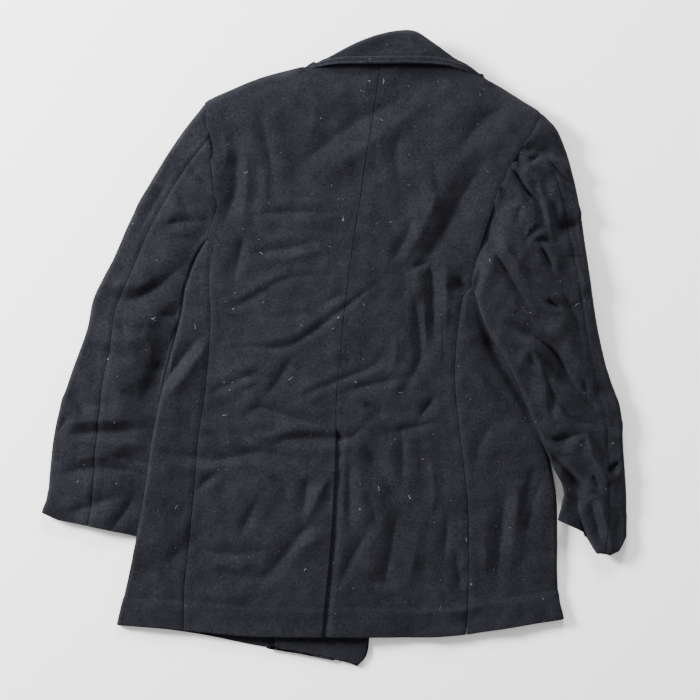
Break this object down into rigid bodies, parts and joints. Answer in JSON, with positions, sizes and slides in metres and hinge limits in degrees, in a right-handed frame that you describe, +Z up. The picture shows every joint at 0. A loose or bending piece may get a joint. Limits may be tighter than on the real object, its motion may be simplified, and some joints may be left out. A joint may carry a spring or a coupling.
{
  "type": "pea coat",
  "caption": "Dark navy wool pea coat laid flat face down: plain back with centre vent, turned-down collar, two-piece sleeves, double-breasted front beneath.",
  "frame": {"origin": "centre of the bounding box, on the surface the coat lies on", "axes": "+Z up off the surface, from the coat's front towards its back; +Y from hem to collar; +X towards the coat's right sleeve as it is worn"},
  "size_m": [0.7961, 0.8658, 0.0386],
  "materials": {
    "melton": "thick fulled wool, matt, with a short felted nap",
    "button": "plain dark buttons with a turned rim"
  },
  "bodies": {
    "root": {"back_left": "melton", "back_right": "melton", "side_left": "melton", "side_right": "melton", "front_left": "melton", "front_right": "melton", "facing_left": "melton", "lapel_left": "melton", "lapel_right": "melton", "collar": "melton", "sleeve_left_top": "melton", "sleeve_left_under": "melton", "sleeve_right_top": "melton", "sleeve_right_under": "melton", "button_1": "button", "button_2": "button", "button_3": "button", "button_4": "button", "button_5": "button", "button_6": "button"}
  },
  "joints": []
}
